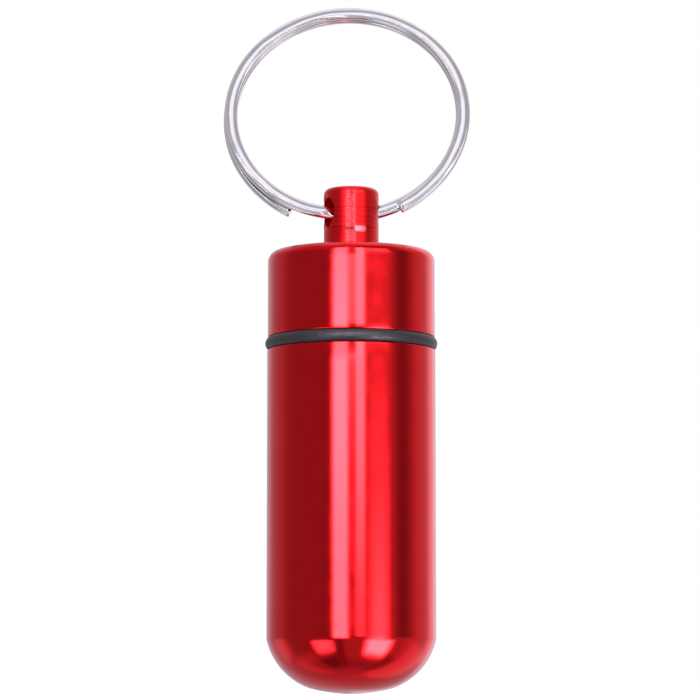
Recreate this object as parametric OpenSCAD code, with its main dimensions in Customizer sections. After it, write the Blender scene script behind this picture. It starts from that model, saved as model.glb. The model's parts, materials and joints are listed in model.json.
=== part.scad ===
// Pill vial for a key ring: a turned aluminium barrel with a domed end, a screw cap with a
// cross-drilled knob, an O-ring between them and a split ring through the knob.
// The origin is on the axis at the barrel's sealing shoulder. +Z points to the cap, and +X lies
// along the knob's cross hole.

/* [Barrel] */
// Outside diameter of the barrel
barrel_d = 16.8; // [16.8:0.1:18]
// Length of the barrel from the sealing shoulder to the edge of the domed end
barrel_len = 28.7; // [28:0.1:45]
// Height of the domed end
dome_h = 5.4; // [5.3:0.1:6]
// Radius of the dome's side
dome_side_r = 6.6; // [6:0.1:6.8]
// Inward lean of the dome's side at its edge, in degrees
dome_lean = 12; // [11:1:16]

/* [Chamber] */
// Diameter of the pill chamber
chamber_d = 12.4; // [11:0.1:12.8]
// Depth of the chamber's straight wall below the shoulder
chamber_depth = 28.5; // [15:0.5:28.5]
// Point angle of the chamber's conical end
point_angle = 118; // [118:2:140]

/* [Thread] */
// Pitch of the cap's thread
pitch = 1; // [0.8:0.1:1]
// Outside diameter of the neck's thread
thread_d = 15; // [14.8:0.1:15.1]
// Radial depth of the thread
thread_depth = 0.55; // [0.4:0.05:0.6]
// Radial gap between the two threads
thread_gap = 0.12; // [0.1:0.02:0.16]

/* [O-ring] */
// Diameter of the O-ring's round section
seal_wire_d = 1.5; // [1.4:0.05:1.6]
// Height of the O-ring when the cap is tight
seal_squeezed_h = 1.25; // [1.15:0.05:1.3]
// Outside diameter of the fitted O-ring
seal_d = 17.2; // [17:0.05:17.2]

/* [Cap] */
// Outside diameter of the cap
cap_d = 16.7; // [16.6:0.1:17.6]
// Height of the cap's flat top above the shoulder
cap_top = 9.9; // [9.6:0.1:12]
// Radius of the cap's top edge
cap_edge_r = 1; // [0.2:0.1:1.2]

/* [Knob] */
// Diameter of the knob
knob_d = 5.5; // [5.4:0.1:6]
// Height of the knob above the cap's flat top
knob_h = 6.4; // [6.2:0.05:7]
// Radius of the knob's top edge
knob_edge_r = 0.6; // [0.3:0.1:0.8]
// Diameter of the cross hole
hole_d = 3; // [2.8:0.1:3]
// Height of the cross hole's axis above the cap's flat top
hole_rise = 3.95; // [3.8:0.05:4]

/* [Key ring] */
// Outside diameter of the split ring
ring_d = 25; // [24:0.5:30]
// Width of the wire across the ring's face
wire_w = 1.35; // [1.1:0.05:1.4]
// Thickness of the wire along the ring's axis
wire_t = 0.65; // [0.6:0.05:0.9]
// Gap between the ring's two coils
coil_gap = 0.03; // [0.02:0.01:0.1]
// How far the ring leans back from upright, in degrees
ring_lean = 20; // [0:0.5:45]
// Turn of the ring's face about the vertical, away from the cross hole, in degrees
ring_yaw = -22; // [-22:1:-15]
// Turn of the ring in its own plane about the cross hole, in degrees
ring_roll = -3.2; // [-5:0.1:5]
// How far the wire hangs below the cross hole's axis
ring_drop = 0.15; // [0:0.05:0.2]

/* [Hidden] */
$fn = 96;
overlap = 0.5;

barrel_r = barrel_d / 2;
thread_r = thread_d / 2;
root_r = thread_r - thread_depth;
chamber_r = chamber_d / 2;
point_h = chamber_r / tan(point_angle / 2);

// Dome: a side arc that starts at the barrel's edge and a bottom arc tangent to it
dome_side_x = barrel_r - dome_side_r * cos(dome_lean);
dome_side_rise = dome_side_r * sin(dome_lean);
dome_total_h = dome_h + dome_side_rise;
dome_end_r = (pow(dome_side_x, 2) + pow(dome_total_h, 2) - pow(dome_side_r, 2))
    / (2 * (dome_total_h - dome_side_r));
dome_join_angle = atan2(dome_end_r - dome_total_h, dome_side_x);

// Neck, from the shoulder upwards
seat_r = thread_r - 0.4;
seat_h = 1.9;
collar_r = root_r - 0.1;
neck_h = 6.8;
neck_chamfer = 0.3;
male_start = seat_h - 0.2;
male_end = neck_h - 0.4;

// O-ring
seal_mid_r = seal_d / 2 - seal_wire_d / 2;
seal_lift = 0.01;

// Cap, from the rim upwards
cap_r = cap_d / 2;
rim_z = seal_squeezed_h + 2 * seal_lift;
rim_break = 0.12;
seat_bore_r = thread_r + 0.25;
seat_bore_top = seat_h + 0.1;
relief_r = thread_r + 0.2;
relief_z = neck_h + 0.1;
ceiling_z = neck_h + 1.1;
female_start = rim_z + 0.2;
female_end = relief_z + 0.3;

// Knob and cross hole
knob_r = knob_d / 2;
knob_top = cap_top + knob_h;
knob_fillet = 0.3;
hole_r = hole_d / 2;
hole_z = cap_top + hole_rise;
countersink = 0.3;

// Split ring: its coil angle runs from one cut end, through the hole at 360, to the other end
ring_mid_r = ring_d / 2 - wire_w / 2;
coil_pitch = wire_t + coil_gap;
ring_start = 29;
ring_end = 697;
ring_steps = 134;
cross_half = 16;
wire_corner = 0.28;
flare_start = 0.6;
flare_end = 0.65;
flare_span = 110;

// Points of an arc about [cx, cy], from angle a0 to angle a1, both ends included
function arc(cx, cy, r, a0, a1, steps) =
    [for (i = [0:steps]) let (a = a0 + (a1 - a0) * i / steps) [cx + r * cos(a), cy + r * sin(a)]];

// Smooth step from 0 to 1 as u goes from 0 to 1
function smooth(u) = let (v = min(max(u, 0), 1)) v * v * (3 - 2 * v);

// Thread form: share of one pitch at which the root, the rise, the crest and the fall begin
form = [0, 0.2, 0.525, 0.675];

// Depth of the thread form, 0 at the root and 1 at the crest, at share u of the pitch
function form_depth(u) =
    u < form[1] ? 0
    : u < form[2] ? (u - form[1]) / (form[2] - form[1])
    : u < form[3] ? 1
    : (1 - u) / (1 - form[3]);

// Rod with one right-hand thread from z0 to z1. The thread fades out over the length fade at
// both ends. The helix depends on height only, so two rods of one pitch are in mesh.
module threaded_rod(r_root, r_crest, z0, z1, fade) {
    columns = 48;
    first_turn = floor(z0 / pitch) - 1;
    rows = 4 * (ceil((z1 - z0) / pitch) + 4);
    function natural_z(j, m) = pitch * (first_turn + floor(m / 4) + form[m % 4] + j / columns);
    function clamp_z(z) = min(max(z, z0), z1);
    function fading(z) = fade > 0 ? min(max(min(z - z0, z1 - z) / fade, 0), 1) : 1;
    function share(z, j) = let (u = z / pitch - j / columns) u - floor(u + 1e-9);
    function depth_at(z, j, m) =
        (z == z0 || z == z1) ? form_depth(share(z, j)) : (m % 4 >= 2 ? 1 : 0);
    function radius(j, m) =
        let (z = clamp_z(natural_z(j, m))) r_root + (r_crest - r_root) * depth_at(z, j, m) * fading(z);
    low = [for (j = [0:columns - 1]) max([for (m = [0:rows - 1]) if (natural_z(j, m) <= z0) m])];
    high = [for (j = [0:columns - 1]) min([for (m = [0:rows - 1]) if (natural_z(j, m) >= z1) m])];
    function index(j, m) =
        j == columns ? index(0, m + 4) : j * rows + min(max(m, low[j]), high[j]);
    points = [
        for (j = [0:columns - 1])
            for (m = [0:rows - 1])
                [radius(j, m) * cos(360 * j / columns),
                 radius(j, m) * sin(360 * j / columns),
                 clamp_z(natural_z(j, m))]
    ];
    sides = [
        for (j = [0:columns - 1])
            for (m = [0:rows - 5])
                for (f = [[index(j, m), index(j, m + 1), index(j + 1, m + 1)],
                          [index(j, m), index(j + 1, m + 1), index(j + 1, m)]])
                    if (f[0] != f[1] && f[1] != f[2] && f[0] != f[2]) f
    ];
    bottom = [for (j = [0:columns - 1]) index(j, 0)];
    top = [for (j = [columns - 1:-1:0]) index(j, rows - 1)];
    polyhedron(points = points, faces = concat(sides, [bottom, top]));
}

// Round outline of the vial's outside, with the neck's core inside the thread
module vial_outline() {
    polygon(concat(
        [[0, neck_h], [collar_r - neck_chamfer, neck_h], [collar_r, neck_h - neck_chamfer]],
        [[collar_r, seat_h], [seat_r, seat_h], [seat_r, 0]],
        [[barrel_r, 0]],
        arc(dome_side_x, dome_side_rise - barrel_len, dome_side_r, -dome_lean, -dome_join_angle, 12),
        [for (i = [1:10]) let (a = -dome_join_angle - (90 - dome_join_angle) * i / 10)
            [dome_end_r * cos(a), dome_end_r - dome_h - barrel_len + dome_end_r * sin(a)]]
    ));
}

module vial() {
    color("crimson")
    difference() {
        union() {
            rotate_extrude() vial_outline();
            threaded_rod(root_r, thread_r, male_start, male_end, pitch);
        }
        translate([0, 0, -chamber_depth]) cylinder(r = chamber_r, h = chamber_depth + neck_h + overlap);
        translate([0, 0, -chamber_depth - point_h]) cylinder(r1 = 0, r2 = chamber_r, h = point_h);
        translate([0, 0, neck_h - neck_chamfer])
            cylinder(r1 = chamber_r, r2 = chamber_r + neck_chamfer, h = neck_chamfer);
    }
}

module cap_outline() {
    polygon(concat(
        [[0, rim_z], [cap_r - rim_break, rim_z], [cap_r, rim_z + rim_break]],
        arc(cap_r - cap_edge_r, cap_top - cap_edge_r, cap_edge_r, 0, 90, 8),
        arc(knob_r + knob_fillet, cap_top + knob_fillet, knob_fillet, 270, 180, 4),
        arc(knob_r - knob_edge_r, knob_top - knob_edge_r, knob_edge_r, 0, 90, 6),
        [[0, knob_top]]
    ));
}

// Cone that breaks the cross hole's edge on the knob's +X side
module hole_countersink() {
    translate([knob_r - countersink, 0, hole_z]) rotate([0, 90, 0])
        cylinder(r1 = hole_r - 0.05, r2 = hole_r + countersink + overlap - 0.05, h = countersink + overlap);
}

module cap() {
    color("crimson")
    difference() {
        rotate_extrude() cap_outline();
        translate([0, 0, rim_z - overlap]) cylinder(r = seat_bore_r, h = seat_bore_top - rim_z + overlap);
        threaded_rod(root_r + thread_gap, thread_r + thread_gap, female_start, female_end, 0);
        translate([0, 0, relief_z]) cylinder(r = relief_r, h = ceiling_z - relief_z);
        translate([-knob_d, 0, hole_z]) rotate([0, 90, 0]) cylinder(r = hole_r, h = 2 * knob_d);
        hole_countersink();
        mirror([1, 0, 0]) hole_countersink();
    }
}

module seal_ring() {
    color("#1a1a1a")
    translate([0, 0, seal_squeezed_h / 2 + seal_lift])
        rotate_extrude()
            intersection() {
                translate([seal_mid_r, 0]) circle(d = seal_wire_d);
                translate([seal_mid_r - seal_wire_d, -seal_squeezed_h / 2])
                    square([2 * seal_wire_d, seal_squeezed_h]);
            }
}

// How far the wire stands outside its circle at coil angle t, where a cut end springs out
function flare(t) =
    flare_start * pow(max(1 - (t - ring_start) / flare_span, 0), 2)
    + flare_end * pow(max(1 - (ring_end - t) / flare_span, 0), 2);

// Side of the coil at coil angle t: +1 in the back layer, -1 in the front layer
function layer(t) = 1 - 2 * smooth((t - 360 + cross_half) / (2 * cross_half));

// Rounded section of the flattened wire: across the ring's face, then along its axis
wire_section = concat(
    arc(wire_w / 2 - wire_corner, wire_t / 2 - wire_corner, wire_corner, 0, 90, 3),
    arc(wire_corner - wire_w / 2, wire_t / 2 - wire_corner, wire_corner, 90, 180, 3),
    arc(wire_corner - wire_w / 2, wire_corner - wire_t / 2, wire_corner, 180, 270, 3),
    arc(wire_w / 2 - wire_corner, wire_corner - wire_t / 2, wire_corner, 270, 360, 3));

// The split ring, upright, with the wire's middle at the origin where it passes the hole
module coil() {
    sides = len(wire_section);
    points = [
        for (i = [0:ring_steps])
            let (t = ring_start + (ring_end - ring_start) * i / ring_steps)
                let (r = ring_mid_r + flare(t), y = layer(t) * coil_pitch / 2)
                    for (s = wire_section)
                        [-(r + s[0]) * sin(t), y + s[1], ring_mid_r - (r + s[0]) * cos(t)]
    ];
    walls = [
        for (i = [0:ring_steps - 1])
            for (k = [0:sides - 1])
                let (a = i * sides + k, b = i * sides + (k + 1) % sides)
                    for (f = [[a, b, b + sides], [a, b + sides, a + sides]]) f
    ];
    first_end = [for (k = [sides - 1:-1:0]) k];
    last_end = [for (k = [0:sides - 1]) ring_steps * sides + k];
    polyhedron(points = points, faces = concat(walls, [first_end, last_end]));
}

module key_ring() {
    color("silver")
    translate([0, 0, hole_z]) rotate([0, 0, ring_yaw]) rotate([-ring_lean, 0, 0]) rotate([0, ring_roll, 0])
        translate([0, 0, -ring_drop]) coil();
}

vial();
cap();
seal_ring();
key_ring();
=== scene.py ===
import json
import math

import bmesh
import bpy
from mathutils import Matrix, Vector


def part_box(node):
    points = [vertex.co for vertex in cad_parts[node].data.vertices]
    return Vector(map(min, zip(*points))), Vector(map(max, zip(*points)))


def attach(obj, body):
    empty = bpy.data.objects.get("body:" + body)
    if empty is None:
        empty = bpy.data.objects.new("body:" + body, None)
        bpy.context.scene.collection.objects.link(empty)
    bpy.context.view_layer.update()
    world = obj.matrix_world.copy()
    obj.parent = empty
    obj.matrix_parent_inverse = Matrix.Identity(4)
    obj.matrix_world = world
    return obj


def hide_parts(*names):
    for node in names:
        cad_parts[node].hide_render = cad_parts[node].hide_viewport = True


# Screw-cap pill vial on a split ring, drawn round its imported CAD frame. Lengths are in metres

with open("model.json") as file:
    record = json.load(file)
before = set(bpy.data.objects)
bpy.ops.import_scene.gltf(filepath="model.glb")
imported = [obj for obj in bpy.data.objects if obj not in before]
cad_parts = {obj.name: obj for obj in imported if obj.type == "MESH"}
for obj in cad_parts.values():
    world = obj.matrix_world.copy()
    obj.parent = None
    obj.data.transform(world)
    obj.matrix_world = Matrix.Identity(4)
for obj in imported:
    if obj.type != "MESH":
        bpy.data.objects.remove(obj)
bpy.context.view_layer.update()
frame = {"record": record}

MM = 0.001

# How finely the pieces are meshed, a ROW being the longest straight stretch of an outline, and the
# angles under which faces are shaded smooth
COLUMNS = 192
THREAD_ROWS = 20
COIL_STEP = 2.0
DOME_STEPS = 20
SEAL_SIDES = 32
HOLE_COLUMNS = 96
VIAL_ROW = 2 * MM
CAP_ROW = 0.5 * MM
SMOOTH_UNDER = math.radians(32)
SEAL_SMOOTH_UNDER = math.radians(60)
RING_SMOOTH_UNDER = math.radians(40)

# Radius under which a point of an outline counts as on the axis
ON_AXIS = 1e-7


# ---------------------------------------------------------------- sizes

vial_low, vial_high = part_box("vial")
cap_low, cap_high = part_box("cap")
seal_low, seal_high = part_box("seal_ring")
JOINTS = {joint["name"]: joint for joint in frame["record"]["behaviour"]["joints"]}

BARREL_R = vial_high.x
BASE_Z = vial_low.z
NECK_TOP = vial_high.z
CAP_R = cap_high.x
CAP_RIM = cap_low.z
KNOB_TOP = cap_high.z
SEAL_R = seal_high.x
SEAL_LOW, SEAL_TOP = seal_low.z, seal_high.z
HOLE_Z = JOINTS["ring_swing"]["pos_m"][2]
PITCH = JOINTS["cap_lift"]["range_m"][1] / (JOINTS["cap_turn"]["range_deg"][1] / 360)
THREAD_STEP = PITCH / THREAD_ROWS

# Turned shapes that the boxes don't give, as in the CAD source
DOME_H = 5.4 * MM
DOME_SIDE_R = 6.6 * MM
DOME_LEAN = math.radians(12)
CHAMBER_R = 6.2 * MM
CHAMBER_DEPTH = 28.5 * MM
POINT_SLOPE = math.tan(math.radians(59))
THREAD_R = 7.5 * MM
ROOT_R = 6.95 * MM
THREAD_DEPTH = THREAD_R - ROOT_R
THREAD_GAP = 0.12 * MM
COLLAR_R = 6.85 * MM
SEAT_R = 7.1 * MM
SEAT_TOP = 1.9 * MM
SEAL_SECTION_R = 0.75 * MM
SEAL_GAP = 0.01 * MM
MALE_THREAD = (1.9 * MM, 6.4 * MM)
FEMALE_THREAD = (2.0 * MM, 6.9 * MM)
SEAT_BORE_R = 7.75 * MM
RELIEF_R = 7.7 * MM
CEILING = 7.9 * MM
CAP_TOP = 9.9 * MM
CAP_EDGE_R = 1.0 * MM
KNOB_EDGE_R = 0.6 * MM
KNOB_FILLET = 0.3 * MM
KNOB_R = 2.75 * MM
HOLE_R = 1.5 * MM
HOLE_FLARE = 0.3 * MM
CUTTER_PAST = 1 * MM

# Share of one pitch at which the thread starts to rise, reaches its crest and leaves it
THREAD_RISE, CREST_START, CREST_END = 0.2, 0.525, 0.675

# Radii that break the turned parts' edges and fill their corners
OUTER_BREAK = 0.12 * MM
RIM_BREAK = 0.08 * MM
SHOULDER_FILLET = 0.15 * MM
COLLAR_BREAK = 0.3 * MM
MOUTH_BREAK = 0.2 * MM
BORE_FILLET = 0.4 * MM
RELIEF_FILLET = 0.3 * MM
HOLE_BREAK = 0.25 * MM

# Tool marks on the knob: the turning ridges, which fade in above the cap's flat top and out past the
# knob's side and carry painted shade in the colour along their grooves, and a short nick on its front,
# drawn only as painted shade in the colour, with a painted highlight beside it. MARK_CORE is the share
# of a mark's half height that is at full strength
KNOB_TURNING = 0.03 * MM
RIDGES_ABOVE = (CAP_TOP, CAP_TOP + 0.2 * MM)
RIDGES_WITHIN = (KNOB_R + 0.1 * MM, KNOB_R + 0.3 * MM)
MARK_Z = 11.95 * MM
MARK_FADE = math.radians(4)
MARK_CORE = 0.35
NICK = (math.radians(-125), math.radians(-102))
NICK_HALF = 0.26 * MM
NICK_GLINT = (math.radians(-103), math.radians(-76))
NICK_GLINT_HALF = 0.38 * MM


# ---------------------------------------------------------------- mesh helpers

def fillet(corners, step=math.radians(18)):
    """Turns corners (r, z, radius) into outline points, with an arc at each corner of radius > 0."""
    points = [corners[0][:2]]
    for (before, corner, after) in zip(corners, corners[1:], corners[2:]):
        p = Vector(corner[:2])
        if corner[2] <= 0:
            points.append(tuple(p))
            continue
        a = (Vector(before[:2]) - p).normalized()
        b = (Vector(after[:2]) - p).normalized()
        half = a.angle(b) / 2
        reach = corner[2] / math.tan(half)
        centre = p + (a + b).normalized() * (corner[2] / math.sin(half))
        start, end = p + a * reach - centre, p + b * reach - centre
        turn = start.angle(end)
        count = max(2, math.ceil(turn / step))
        for i in range(count + 1):
            share = i / count
            spoke = start * math.sin((1 - share) * turn) + end * math.sin(share * turn)
            points.append(tuple(centre + spoke / math.sin(turn)))
    points.append(corners[-1][:2])
    return points


def divide(points, longest):
    """Splits each straight stretch of an outline so that none is longer than longest."""
    out = [points[0]]
    for a, b in zip(points, points[1:]):
        count = max(1, math.ceil(math.dist(a, b) / longest))
        out += [tuple(a[k] + (b[k] - a[k]) * i / count for k in range(2)) for i in range(1, count + 1)]
    return out


def thread_form(height, angle):
    """Depth of the screw thread from 0 at its root to 1 at its crest."""
    share = (height / PITCH - angle / math.tau) % 1
    if share < THREAD_RISE:
        return 0
    if share < CREST_START:
        return (share - THREAD_RISE) / (CREST_START - THREAD_RISE)
    if share < CREST_END:
        return 1
    return (1 - share) / (1 - CREST_END)


def lathe(name, outline, columns=COLUMNS, radius=None):
    """Closed turned mesh from an outline of (r, z), whose ends lie on the axis."""
    mesh = bmesh.new()
    rings = []
    for r, z in outline:
        if r < ON_AXIS:
            rings.append([mesh.verts.new((0, 0, z))])
            continue
        ring = []
        for i in range(columns):
            angle = math.tau * i / columns
            local = radius(r, z, angle) if radius else r
            ring.append(mesh.verts.new((local * math.cos(angle), local * math.sin(angle), z)))
        rings.append(ring)
    for lower, upper in zip(rings, rings[1:]):
        for i in range(columns):
            j = (i + 1) % columns
            if len(lower) == 1:
                mesh.faces.new((lower[0], upper[j], upper[i]))
            elif len(upper) == 1:
                mesh.faces.new((lower[i], lower[j], upper[0]))
            else:
                mesh.faces.new((lower[i], lower[j], upper[j], upper[i]))
    return finish_mesh(name, mesh)


def finish_mesh(name, mesh, sharp=SMOOTH_UNDER):
    """Makes an object from a bmesh, smooth but with edges over the angle sharp kept."""
    bmesh.ops.recalc_face_normals(mesh, faces=mesh.faces)
    data = bpy.data.meshes.new(name)
    mesh.to_mesh(data)
    mesh.free()
    data.shade_smooth()
    data.set_sharp_from_angle(angle=sharp)
    piece = bpy.data.objects.new(name, data)
    bpy.context.scene.collection.objects.link(piece)
    return piece


def add_piece(piece, node, body, finish):
    """Puts a finished piece in its CAD node's place, on its body and in its material slot."""
    piece.data.materials.clear()
    piece.data.materials.append(finish)
    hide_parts(node)
    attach(piece, body)


# ---------------------------------------------------------------- materials

class Nodes:
    """Short way to add shader nodes and link them."""

    def __init__(self, tree):
        self.tree = tree
        tree.nodes.clear()

    def add(self, kind, settings=(), **inputs):
        """New node with its settings and its named inputs, _ standing for a space."""
        node = self.tree.nodes.new(kind)
        for key, value in dict(settings).items():
            setattr(node, key, value)
        for key, value in inputs.items():
            self.set(node, key.replace("_", " "), value)
        return node

    def set(self, node, key, value):
        """Gives an input, by name or number, a value or a link."""
        socket = node.inputs[int(key)] if key.isdigit() else node.inputs[key]
        if isinstance(value, bpy.types.NodeSocket):
            self.tree.links.new(value, socket)
        else:
            socket.default_value = value

    def math(self, operation, a, b=0.0, c=0.0):
        """Result of one operation on up to three values."""
        node = self.tree.nodes.new("ShaderNodeMath")
        node.operation = operation
        for i, value in enumerate((a, b, c)):
            self.set(node, str(i), value)
        return node.outputs[0]

    def smooth(self, value, low, high, start=0.0, end=1.0):
        """Smooth step from start to end as value goes from low to high."""
        node = self.tree.nodes.new("ShaderNodeMapRange")
        node.interpolation_type = "SMOOTHSTEP"
        for i, item in enumerate((value, low, high, start, end)):
            self.set(node, str(i), item)
        return node.outputs[0]

    def noise(self, vector, stretch, detail, roughness=0.5):
        """Noise from 0 to 1, with stretch in cycles per unit along each axis."""
        scaled = self.tree.nodes.new("ShaderNodeVectorMath")
        scaled.operation = "MULTIPLY"
        self.tree.links.new(vector, scaled.inputs[0])
        scaled.inputs[1].default_value = stretch
        node = self.tree.nodes.new("ShaderNodeTexNoise")
        node.inputs["Scale"].default_value = 1.0
        node.inputs["Detail"].default_value = detail
        node.inputs["Roughness"].default_value = roughness
        self.tree.links.new(scaled.outputs[0], node.inputs["Vector"])
        return node.outputs["Fac"]

    def mix_colour(self, factor, a, b):
        """Colour from a to b as factor goes from 0 to 1."""
        node = self.tree.nodes.new("ShaderNodeMix")
        node.data_type = "RGBA"
        self.set(node, "0", factor)
        for socket, value in ((node.inputs[6], a), (node.inputs[7], b)):
            if isinstance(value, bpy.types.NodeSocket):
                self.tree.links.new(value, socket)
            else:
                socket.default_value = (*value, 1.0)
        return node.outputs[2]

    def bump(self, height, distance, normal=None):
        """Normal of a surface raised by height times distance, on top of another normal if given."""
        node = self.tree.nodes.new("ShaderNodeBump")
        node.inputs["Strength"].default_value = 1.0
        node.inputs["Distance"].default_value = distance
        self.tree.links.new(height, node.inputs["Height"])
        if normal:
            self.tree.links.new(normal, node.inputs["Normal"])
        return node.outputs[0]


def new_material(name):
    """Empty material and the short way to its nodes."""
    made = bpy.data.materials.new(name)
    made.use_nodes = True
    return made, Nodes(made.node_tree)


# ---------------------------------------------------------------- studio light

CAMERA_AZIMUTH = math.radians(-19.5)
CAMERA_DISTANCE = 300 * MM
CAMERA_HEIGHT = -33.65 * MM
AIM_HEIGHT = 0.05 * MM
AIM_SIDE = -0.13 * MM
LENS = 155.3

FORWARD = Vector((-math.sin(CAMERA_AZIMUTH), math.cos(CAMERA_AZIMUTH), 0))
RIGHT = Vector((math.cos(CAMERA_AZIMUTH), math.sin(CAMERA_AZIMUTH), 0))

# Soft boxes of the studio as degrees of azimuth (0 at the camera, + to its right), degrees of
# elevation, brightness and edge softness in degrees, across and upwards. A brightness below 0 is a
# dark flag, and an edge past 180 runs right up to the seam at the back
SOFT_BOXES = [
    # stripes on the barrel, the cap and the knob
    (-24, -5, -14, 42, 14.5, 6, 6),
    (-26, -5, 4.0, 7.8, 11, 8, 4),
    (-5, 7, 6.6, 9.5, 13, 4, 2.4),
    (6.5, 18, 3.2, 40, 17, 5, 4.5),
    (20, 54, 14.5, 36, 4, 8, 3),
    (14, 60, -14, 24, 0.6, 24, 8),
    (28, 49, -22, 2.0, 8.5, 16, 6),
    # glints and shades on the domed end
    (24, 60, -50, -22, 22, 14, 14),
    (-58, -29, -45, -24, 5, 14, 10),
    (-12, 56, -60, -8, 0.3, 8, 14),
    (-98, -36, -74, -54, -0.2, 16, 10),
    (62, 92, -46, -8, 0.35, 12, 12),
    (95, 140, -76, -20, 0.35, 10, 10),
    (-120, -70, -76, -40, 0.25, 10, 10),
    (145, 187, -76, -24, -0.2, 12, 10),
    (-187, -145, -76, -24, 0.06, 12, 10),
    (-8, 70, -80, -56, 0.12, 20, 10),
    # walls behind, and a faint light that gives the back some form
    (128, 160, -20, 60, 0.4, 10, 20),
    (-165, -140, -20, 60, 0.1, 10, 20),
    (-132, -106, -32, -9, 0.4, 16, 10),
    # cap's rounded edge and the ceiling
    (-14, 3, 46, 54, 1.2, 6, 5),
    (-181, 181, 28, 91, 0.22, 1, 12),
    (-181, 181, 66, 91, 0.65, 1, 14),
]

# Brightness of the studio's front and walls, with the degrees of azimuth over which each gives way,
# and of its floor and ceiling, which blend in so that the poles have no seam
FRONT = 0.29
LEFT_FRONT = 0.12
LEFT_FRONT_ENDS = (-50, -20)
LEFT_WALL = 0.56
LEFT_WALL_ENDS = (-112, -90)
RIGHT_WALL = 0.80
RIGHT_WALL_STARTS = (76, 104)
NADIR = 0.62
NADIR_BLEND = (-88, -72)
ZENITH = 1.25
ZENITH_BLEND = (74, 88)

# Brightness of a mirrored light at which the painted shade leaves the plating's colour half as bright,
# and a length just under a bake's ray
BOX_KNEE = 3.0
BAKE_RAY = 0.99

# Slightly violet cast of the studio in mirrors
MIRROR_TINT = (1.0, 0.95, 1.09)


def studio_light(n, ray):
    """Brightness of the studio in the direction ray: dim front, brighter walls and the soft boxes."""

    def along(axis):
        node = n.add("ShaderNodeVectorMath", {"operation": "DOT_PRODUCT"})
        n.set(node, "0", ray)
        n.set(node, "1", axis)
        return node.outputs["Value"]

    to_degrees = math.degrees(1)
    azimuth = n.math("MULTIPLY", n.math("ARCTAN2", along(RIGHT), along(-FORWARD)), to_degrees)
    elevation = n.math("MULTIPLY", n.math("ARCSINE", along(Vector((0, 0, 1)))), to_degrees)

    def window(value, low, high, soft):
        rise = n.smooth(value, low - soft / 2, low + soft / 2)
        fall = n.smooth(value, high - soft / 2, high + soft / 2, 1.0, 0.0)
        return n.math("MULTIPLY", rise, fall)

    left_rise = LEFT_WALL - FRONT - LEFT_FRONT
    light = n.math("ADD", FRONT, n.smooth(azimuth, *RIGHT_WALL_STARTS, 0.0, RIGHT_WALL - FRONT))
    light = n.math("ADD", light, n.smooth(azimuth, *LEFT_FRONT_ENDS, LEFT_FRONT, 0.0))
    light = n.math("ADD", light, n.smooth(azimuth, *LEFT_WALL_ENDS, left_rise, 0.0))
    for az0, az1, el0, el1, strength, across, upwards in SOFT_BOXES:
        wide, high = window(azimuth, az0, az1, across), window(elevation, el0, el1, upwards)
        light = n.math("MULTIPLY_ADD", n.math("MULTIPLY", wide, high), strength, light)
    below = n.smooth(elevation, *NADIR_BLEND, 1.0, 0.0)
    above = n.smooth(elevation, *ZENITH_BLEND)
    for pole, share in ((NADIR, below), (ZENITH, above)):
        light = n.math("MULTIPLY_ADD", n.math("SUBTRACT", pole, light), share, light)
    return light


# ---------------------------------------------------------------- surfaces

# Colours. Noise blends the two of a pair
RED = ((0.60, 0.0060, 0.0082), (0.66, 0.0080, 0.0104))
# Painted shade along the knob's turning grooves
GROOVE_SHADE_RED = (0.12, 0.001, 0.001)
# Painted shade at the knob's nick
NICK_SHADE_RED = (0.02, 0.0004, 0.0004)
# Painted highlight beside the knob's nick
NICK_GLINT_PINK = (0.80, 0.30, 0.32)
RUBBER = ((0.008, 0.008, 0.009), (0.05, 0.05, 0.052))
PLATING = ((0.67, 0.665, 0.64), (0.79, 0.79, 0.76))
# Black that painted shade darkens the plating towards, where the wire mirrors a soft box
BLACK = (0, 0, 0)
WHITE = (1.0, 1.0, 1.0)
FLOOR_WHITE = (0.98, 0.98, 0.98, 1)

# Noise in cycles a metre, and for the drawn wire in cycles along it and round it
FINE_TURNING = (300, 300, 16000)
COARSE_TURNING = (90, 90, 1700)
KNOB_RIDGES = (0, 0, 3000)
RED_MOTTLE = (500, 500, 500)
RUBBER_GRAIN = (6000, 6000, 6000)
DUST = (1500, 1500, 1500)
WIRE_WAVES = (160, 160, 160)
WIRE_CLOUDS = (900, 900, 900)
WIRE_DRAWING = (6, 40, 0)

# Height of each bump
FINE_HEIGHT = 0.0005 * MM
COARSE_HEIGHT = 0.0010 * MM
GRAIN_HEIGHT = 0.004 * MM
WAVE_HEIGHT = 0.22 * MM
DRAWING_HEIGHT = 0.0002 * MM

# Lowest and highest roughness, and what the knob's ridges add
RED_ROUGHNESS = (0.12, 0.16)
RUBBER_ROUGHNESS = (0.42, 0.6)
PLATING_ROUGHNESS = (0.05, 0.09)
KNOB_ROUGHNESS = 0.28

# Strength in the colour of the painted shade along the knob's grooves and at its nick, and of the
# painted highlight beside the nick
GROOVE_SHADE_STRENGTH = 0.45
NICK_SHADE_STRENGTH = 0.96
NICK_GLINT_STRENGTH = 0.45


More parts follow.
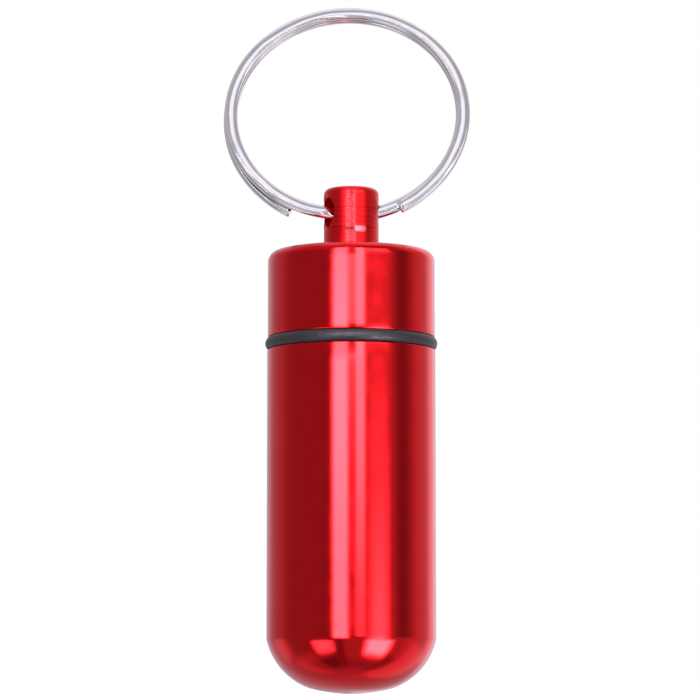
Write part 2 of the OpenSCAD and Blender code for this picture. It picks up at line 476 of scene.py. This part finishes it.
def anodised_red():
    """Turned aluminium under a clear red oxide layer, with fine tool marks round it. On the knob,
    painted shade darkens the colour along the turning grooves and at a nicked spot, and a painted
    highlight lightens it beside that spot.
    """
    made, n = new_material("red_anodised")
    place = n.add("ShaderNodeTexCoord").outputs["Object"]
    parts = n.add("ShaderNodeSeparateXYZ")
    n.set(parts, "0", place)
    x, y, z = parts.outputs
    radius = n.math("SQRT", n.math("ADD", n.math("MULTIPLY", x, x), n.math("MULTIPLY", y, y)))
    knob = n.math("MULTIPLY", n.smooth(z, *RIDGES_ABOVE), n.smooth(radius, *RIDGES_WITHIN, 1.0, 0.0))
    fine = n.noise(place, FINE_TURNING, detail=3)
    coarse = n.noise(place, COARSE_TURNING, detail=1)
    mottle = n.noise(place, RED_MOTTLE, detail=4)
    turning = n.noise(place, KNOB_RIDGES, detail=2)
    nick_shade = knob_mark(n, x, y, z, NICK, NICK_HALF)
    nick_glint = knob_mark(n, x, y, z, NICK_GLINT, NICK_GLINT_HALF)
    height = n.math("MULTIPLY", turning, n.math("MULTIPLY", knob, KNOB_TURNING))
    normal = n.bump(coarse, COARSE_HEIGHT)
    normal = n.bump(fine, FINE_HEIGHT, normal=normal)
    normal = n.bump(height, 1.0, normal=normal)
    colour = n.mix_colour(mottle, *RED)
    # Painted shade: darker red along the knob's turning grooves
    groove_shade = n.math("MULTIPLY", knob, n.smooth(turning, 0.50, 0.62, 0.0, GROOVE_SHADE_STRENGTH))
    colour = n.mix_colour(groove_shade, colour, GROOVE_SHADE_RED)
    # Painted shade: near-black along the knob's nick
    colour = n.mix_colour(n.math("MULTIPLY", nick_shade, NICK_SHADE_STRENGTH), colour, NICK_SHADE_RED)
    # Painted highlight: pale pink beside the knob's nick
    colour = n.mix_colour(n.math("MULTIPLY", nick_glint, NICK_GLINT_STRENGTH), colour, NICK_GLINT_PINK)
    base_roughness = n.smooth(mottle, 0.3, 0.7, *RED_ROUGHNESS)
    roughness = n.math("MULTIPLY_ADD", knob, KNOB_ROUGHNESS, base_roughness)
    tangent = n.add("ShaderNodeTangent", {"direction_type": "RADIAL", "axis": "Z"})
    shader = n.add(
        "ShaderNodeBsdfPrincipled", Base_Color=colour, Metallic=1.0, Anisotropic=0.5,
        Anisotropic_Rotation=0.25, Roughness=roughness, Tangent=tangent.outputs[0], Normal=normal,
        Coat_Weight=0.12, Coat_Roughness=0.1)
    n.add("ShaderNodeOutputMaterial", Surface=shader.outputs[0])
    return made


def knob_mark(n, x, y, z, span, half):
    """Short mark across the front of the knob: 1 inside it, 0 outside."""
    angle = n.math("ARCTAN2", y, x)
    inside = n.math("MULTIPLY", n.smooth(angle, span[0], span[0] + MARK_FADE),
                    n.smooth(angle, span[1] - MARK_FADE, span[1], 1.0, 0.0))
    off = n.math("ABSOLUTE", n.math("SUBTRACT", z, MARK_Z))
    return n.math("MULTIPLY", inside, n.smooth(off, MARK_CORE * half, half, 1.0, 0.0))


def black_rubber():
    """Moulded rubber with a fine grain and a little dust."""
    made, n = new_material("black_rubber")
    place = n.add("ShaderNodeTexCoord").outputs["Object"]
    grain = n.noise(place, RUBBER_GRAIN, detail=4)
    dust = n.noise(place, DUST, detail=6, roughness=0.7)
    colour = n.mix_colour(n.smooth(dust, 0.60, 0.78), *RUBBER)
    shader = n.add(
        "ShaderNodeBsdfPrincipled", Base_Color=colour,
        Roughness=n.smooth(dust, 0.3, 0.8, *RUBBER_ROUGHNESS), Specular_IOR_Level=0.35,
        Normal=n.bump(grain, GRAIN_HEIGHT))
    n.add("ShaderNodeOutputMaterial", Surface=shader.outputs[0])
    return made


def plated_steel():
    """Bright nickel-plated wire, slightly wavy along its length, with drawing marks.

    Painted shade darkens its colour towards black where the wire would mirror a soft box, so that
    the plating keeps its greys. A bake, whose rays count as 1 m long, gets the plain plating.
    """
    made, n = new_material("ring_steel")
    wire = n.add("ShaderNodeUVMap").outputs["UV"]
    place = n.add("ShaderNodeTexCoord").outputs["Object"]
    drawn = n.noise(wire, WIRE_DRAWING, detail=1)
    waves = n.noise(place, WIRE_WAVES, detail=1)
    cloud = n.noise(place, WIRE_CLOUDS, detail=3)
    normal = n.bump(waves, WAVE_HEIGHT)
    normal = n.bump(drawn, DRAWING_HEIGHT, normal=normal)
    colour = n.mix_colour(cloud, *PLATING)
    facing = n.add("ShaderNodeNewGeometry")
    mirrored = n.add("ShaderNodeVectorMath", {"operation": "REFLECT"})
    n.set(mirrored, "0", facing.outputs["Incoming"])
    n.set(mirrored, "1", normal)
    outward = n.add("ShaderNodeVectorMath", {"operation": "SCALE"})
    n.set(outward, "0", mirrored.outputs[0])
    outward.inputs["Scale"].default_value = -1.0
    # Painted shade: the plating's colour is darkened by how bright the soft box that it mirrors is
    excess = n.math("DIVIDE", studio_light(n, outward.outputs[0]), BOX_KNEE)
    seen = n.math("LESS_THAN", n.add("ShaderNodeLightPath").outputs["Ray Length"], BAKE_RAY)
    excess = n.math("MULTIPLY", excess, seen)
    dim = n.math("DIVIDE", 1.0, n.math("MULTIPLY_ADD", excess, excess, 1.0))
    shader = n.add(
        "ShaderNodeBsdfPrincipled", Base_Color=n.mix_colour(dim, BLACK, colour), Metallic=1.0,
        Roughness=n.smooth(cloud, 0.3, 0.7, *PLATING_ROUGHNESS), Normal=normal)
    n.add("ShaderNodeOutputMaterial", Surface=shader.outputs[0])
    return made


# ---------------------------------------------------------------- vial

def dome_outline():
    """Points from the dome's tip up to the barrel's edge: an end arc, then a side arc."""
    side_x = BARREL_R - DOME_SIDE_R * math.cos(DOME_LEAN)
    side_rise = DOME_SIDE_R * math.sin(DOME_LEAN)
    height = DOME_H + side_rise
    end_r = (side_x ** 2 + height ** 2 - DOME_SIDE_R ** 2) / (2 * (height - DOME_SIDE_R))
    join = math.atan2(end_r - height, side_x)
    edge_z = BASE_Z + DOME_H
    points = [(0, BASE_Z)]
    for i in range(1, DOME_STEPS + 1):
        a = -math.pi / 2 + (math.pi / 2 - join) * i / DOME_STEPS
        points.append((end_r * math.cos(a), BASE_Z + end_r + end_r * math.sin(a)))
    for i in range(1, DOME_STEPS + 1):
        a = -join + (join - DOME_LEAN) * i / DOME_STEPS
        rise = side_rise + DOME_SIDE_R * math.sin(a)
        points.append((side_x + DOME_SIDE_R * math.cos(a), edge_z + rise))
    return points


def rows_between(start, end, step):
    """Heights from start to end, about step apart."""
    count = max(1, round((end - start) / step))
    return [start + (end - start) * i / count for i in range(count + 1)]


def make_vial(finish):
    """Domed end, barrel, neck with its thread and the drilled chamber, turned in one outline."""
    edge_z = BASE_Z + DOME_H
    outside = fillet([
        dome_outline()[-1] + (0,), (BARREL_R, edge_z + OUTER_BREAK, 0), (BARREL_R, 0, OUTER_BREAK),
        (SEAT_R, 0, SHOULDER_FILLET), (SEAT_R, SEAT_TOP, RIM_BREAK), (ROOT_R, SEAT_TOP, 0)])
    thread = [(ROOT_R, z) for z in rows_between(*MALE_THREAD, THREAD_STEP)]
    mouth = fillet([
        (COLLAR_R, MALE_THREAD[1], 0), (COLLAR_R, NECK_TOP, COLLAR_BREAK),
        (CHAMBER_R, NECK_TOP, MOUTH_BREAK), (CHAMBER_R, -CHAMBER_DEPTH, BORE_FILLET),
        (0, -CHAMBER_DEPTH - CHAMBER_R / POINT_SLOPE, 0)])
    outline = dome_outline()[:-1] + divide(outside, VIAL_ROW) + thread[1:] + divide(mouth, VIAL_ROW)

    def radius(r, z, angle):
        if r != ROOT_R or not MALE_THREAD[0] < z < MALE_THREAD[1]:
            return r
        fade = min(1, (z - MALE_THREAD[0]) / PITCH, (MALE_THREAD[1] - z) / PITCH)
        return r + THREAD_DEPTH * fade * thread_form(z, angle)

    piece = lathe("vial_body", outline, radius=radius)
    add_piece(piece, "vial", "vial", finish)


# ---------------------------------------------------------------- cap

def cross_hole_cutter():
    """Turned cutter along X for the knob's hole, flared where it breaks the knob's sides."""
    end = KNOB_R + CUTTER_PAST
    mouth = KNOB_R - HOLE_FLARE
    flare_r = HOLE_R + end - mouth
    side = fillet([
        (0, -end, 0), (flare_r, -end, 0), (HOLE_R, -mouth, HOLE_BREAK), (HOLE_R, mouth, HOLE_BREAK),
        (flare_r, end, 0), (0, end, 0)], step=math.radians(12))
    cutter = lathe("cutter", side, columns=HOLE_COLUMNS)
    cutter.data.transform(Matrix.Translation((0, 0, HOLE_Z)) @ Matrix.Rotation(math.pi / 2, 4, "Y"))
    return cutter


def cut(piece, cutter):
    """Cuts one closed mesh out of another and removes the cutter."""
    change = piece.modifiers.new("cut", "BOOLEAN")
    change.object = cutter
    change.solver = "EXACT"
    bpy.context.view_layer.update()
    done = bpy.data.meshes.new_from_object(piece.evaluated_get(bpy.context.evaluated_depsgraph_get()))
    piece.modifiers.clear()
    piece.data = done
    bpy.data.objects.remove(cutter)


def make_cap(finish):
    """Threaded inside, skirt, top and knob, turned in one outline, with the cross hole cut through."""
    thread_root = ROOT_R + THREAD_GAP
    inside = fillet([
        (0, CEILING, 0), (RELIEF_R, CEILING, RELIEF_FILLET), (RELIEF_R, FEMALE_THREAD[1], 0),
        (thread_root, FEMALE_THREAD[1], 0)])
    thread = [(thread_root, z) for z in reversed(rows_between(*FEMALE_THREAD, THREAD_STEP))]
    outside = fillet([
        (SEAT_BORE_R, FEMALE_THREAD[0], 0), (SEAT_BORE_R, CAP_RIM, RIM_BREAK),
        (CAP_R, CAP_RIM, OUTER_BREAK), (CAP_R, CAP_TOP, CAP_EDGE_R), (KNOB_R, CAP_TOP, KNOB_FILLET),
        (KNOB_R, KNOB_TOP, KNOB_EDGE_R), (0, KNOB_TOP, 0)])
    outline = inside + thread[1:] + divide(outside, CAP_ROW)

    def radius(r, z, angle):
        if r != thread_root:
            return r
        return r + THREAD_DEPTH * thread_form(z, angle)

    piece = lathe("cap_body", outline, radius=radius)
    cut(piece, cross_hole_cutter())
    piece.data.set_sharp_from_angle(angle=SMOOTH_UNDER)
    add_piece(piece, "cap", "cap", finish)


# ---------------------------------------------------------------- seal

def make_seal(finish):
    """O-ring, squeezed flat where the cap's rim and the shoulder press on it."""
    mid_r = SEAL_R - SEAL_SECTION_R
    mid_z = (SEAL_LOW + SEAL_TOP) / 2
    half = (SEAL_TOP - SEAL_LOW) / 2
    mesh = bmesh.new()
    rings = []
    for i in range(COLUMNS):
        angle = math.tau * i / COLUMNS
        ring = []
        for k in range(SEAL_SIDES):
            a = math.tau * k / SEAL_SIDES
            r = max(mid_r + SEAL_SECTION_R * math.cos(a), SEAT_R + SEAL_GAP)
            z = mid_z + max(-half, min(half, SEAL_SECTION_R * math.sin(a)))
            ring.append(mesh.verts.new((r * math.cos(angle), r * math.sin(angle), z)))
        rings.append(ring)
    for i in range(COLUMNS):
        here, there = rings[i], rings[(i + 1) % COLUMNS]
        for k in range(SEAL_SIDES):
            m = (k + 1) % SEAL_SIDES
            mesh.faces.new((here[k], there[k], there[m], here[m]))
    piece = finish_mesh("seal_oring", mesh, sharp=SEAL_SMOOTH_UNDER)
    add_piece(piece, "seal_ring", "seal", finish)


# ---------------------------------------------------------------- split ring

# Flattened wire, as in the CAD source, with finer corners and a slight crown on its wide faces
WIRE_W = 1.35 * MM
WIRE_T = 0.65 * MM
WIRE_CORNER = 0.22 * MM
WIRE_CROWN = 0.07 * MM
RING_R = (25 * MM - WIRE_W) / 2

# Coil angles in degrees run from one cut end, through the hole at 360, to the other cut end. Within
# CROSS_HALF of the hole the wire crosses from one layer to the other, and over the last FLARE_SPAN
# each end is sprung out by its flare
COIL_PITCH = 0.68 * MM
COIL = (29.0, 697.0)
CROSS_HALF = 16.0
FLARES = (0.6 * MM, 0.65 * MM)
FLARE_SPAN = 110.0

# Degrees from a cut end at which its bevel starts and ends, and the bevelled section's size
BEVEL = (0.05, 0.5)
BEVEL_SIZE = 0.86

# How the ring hangs in the photo: the wire's drop in the hole, then turns in the order listed
RING_DROP = 0.15 * MM
RING_TURNS = ((-3.2, "Y"), (-20, "X"), (-22, "Z"))


def coil_point(t, across, along):
    """Point of the wire at coil angle t, offset across the ring's face and along its axis."""
    flare = FLARES[0] * max(1 - (t - COIL[0]) / FLARE_SPAN, 0) ** 2
    flare += FLARES[1] * max(1 - (COIL[1] - t) / FLARE_SPAN, 0) ** 2
    share = min(max((t - 360 + CROSS_HALF) / (2 * CROSS_HALF), 0), 1)
    side = 1 - 2 * share * share * (3 - 2 * share)
    r = RING_R + flare + across
    a = math.radians(t)
    up = RING_R - RING_DROP - r * math.cos(a)
    return Vector((-r * math.sin(a), side * COIL_PITCH / 2 + along, up))


def wire_section(corner_steps, face_steps):
    """Section of the flattened wire as (across, along): rounded corners and crowned wide faces."""
    points = []
    flat = WIRE_W / 2 - WIRE_CORNER
    for quarter, (sx, sy) in enumerate(((1, 1), (-1, 1), (-1, -1), (1, -1))):
        cx = sx * flat
        cy = sy * (WIRE_T / 2 - WIRE_CORNER)
        for i in range(corner_steps + 1):
            a = (quarter + i / corner_steps) * math.pi / 2
            points.append((cx + WIRE_CORNER * math.cos(a), cy + WIRE_CORNER * math.sin(a)))
        if quarter % 2 == 0:
            for i in range(1, face_steps):
                points.append((sx * flat * (1 - 2 * i / face_steps), sy * WIRE_T / 2))
    crowned = []
    for u, v in points:
        drop = WIRE_CROWN * (u / (WIRE_W / 2)) ** 2
        crowned.append((u, v - math.copysign(min(drop, abs(v)), v)))
    return crowned


def make_ring(finish):
    """Sweeps the wire's section along the coil, bevelled at the two cut ends."""
    count = round((COIL[1] - COIL[0]) / COIL_STEP)
    section = wire_section(corner_steps=4, face_steps=6)
    whole_from, whole_to = COIL[0] + BEVEL[1], COIL[1] - BEVEL[1]
    stations = [(COIL[0] + BEVEL[0], BEVEL_SIZE)]
    stations += [(whole_from + (whole_to - whole_from) * i / count, 1.0) for i in range(count + 1)]
    stations += [(COIL[1] - BEVEL[0], BEVEL_SIZE)]
    mesh = bmesh.new()
    layer = mesh.loops.layers.uv.new("UVMap")
    rings = []
    for t, size in stations:
        rings.append([mesh.verts.new(coil_point(t, u * size, v * size)) for u, v in section])
    sides = len(section)
    for i in range(len(stations) - 1):
        for k in range(sides):
            m = (k + 1) % sides
            face = mesh.faces.new((rings[i][k], rings[i][m], rings[i + 1][m], rings[i + 1][k]))
            spots = ((i, k), (i, k + 1), (i + 1, k + 1), (i + 1, k))
            for loop, (a, b) in zip(face.loops, spots):
                loop[layer].uv = (a / len(stations), b / sides)
    mesh.faces.new(rings[0])
    mesh.faces.new(list(reversed(rings[-1])))
    place = Matrix.Translation((0, 0, HOLE_Z))
    for degrees, axis in reversed(RING_TURNS):
        place = place @ Matrix.Rotation(math.radians(degrees), 4, axis)
    bmesh.ops.transform(mesh, matrix=place, verts=mesh.verts)
    piece = finish_mesh("split_ring", mesh, sharp=RING_SMOOTH_UNDER)
    add_piece(piece, "key_ring", "ring", finish)


# ---------------------------------------------------------------- stage

FLOOR_R = 6.0
FLOOR_GAP = 0.02 * MM
CLIP = (0.01, 50)


def make_world():
    """White to the camera and to matt surfaces. Mirrors see the studio."""
    world = bpy.data.worlds.new("studio")
    bpy.context.scene.world = world
    world.use_nodes = True
    n = Nodes(world.node_tree)
    light = studio_light(n, n.add("ShaderNodeTexCoord").outputs["Generated"])
    path = n.add("ShaderNodeLightPath")
    even = n.math("MAXIMUM", path.outputs["Is Camera Ray"], path.outputs["Is Diffuse Ray"])
    strength = n.math("MULTIPLY_ADD", n.math("SUBTRACT", 1.0, light), even, light)
    tint = n.mix_colour(even, MIRROR_TINT, WHITE)
    background = n.add("ShaderNodeBackground", Color=tint, Strength=strength)
    n.add("ShaderNodeOutputWorld", Surface=background.outputs[0])


def make_floor():
    """Matt white floor just under the domed end, which mirrors don't see."""
    mesh = bmesh.new()
    bmesh.ops.create_circle(mesh, cap_ends=True, segments=64, radius=FLOOR_R)
    bmesh.ops.translate(mesh, verts=mesh.verts, vec=(0, 0, BASE_Z - FLOOR_GAP))
    floor = finish_mesh("floor", mesh)
    made, n = new_material("floor_white")
    shader = n.add("ShaderNodeBsdfPrincipled", Base_Color=FLOOR_WHITE, Roughness=0.9)
    n.add("ShaderNodeOutputMaterial", Surface=shader.outputs[0])
    floor.data.materials.append(made)
    floor.visible_glossy = False


def make_camera():
    """Camera at the photo's viewing angle, aimed close to the middle of the object."""
    camera = bpy.data.objects.new("camera", bpy.data.cameras.new("camera"))
    bpy.context.scene.collection.objects.link(camera)
    camera.location = -FORWARD * CAMERA_DISTANCE + Vector((0, 0, CAMERA_HEIGHT))
    aim = RIGHT * AIM_SIDE + Vector((0, 0, AIM_HEIGHT))
    camera.rotation_mode = "QUATERNION"
    camera.rotation_quaternion = (aim - camera.location).to_track_quat("-Z", "Y")
    camera.data.lens = LENS
    camera.data.clip_start, camera.data.clip_end = CLIP
    bpy.context.scene.camera = camera


red = anodised_red()
make_vial(red)
make_cap(red)
make_seal(black_rubber())
make_ring(plated_steel())
make_world()
make_floor()
make_camera()
bpy.context.scene.view_settings.view_transform = "Standard"
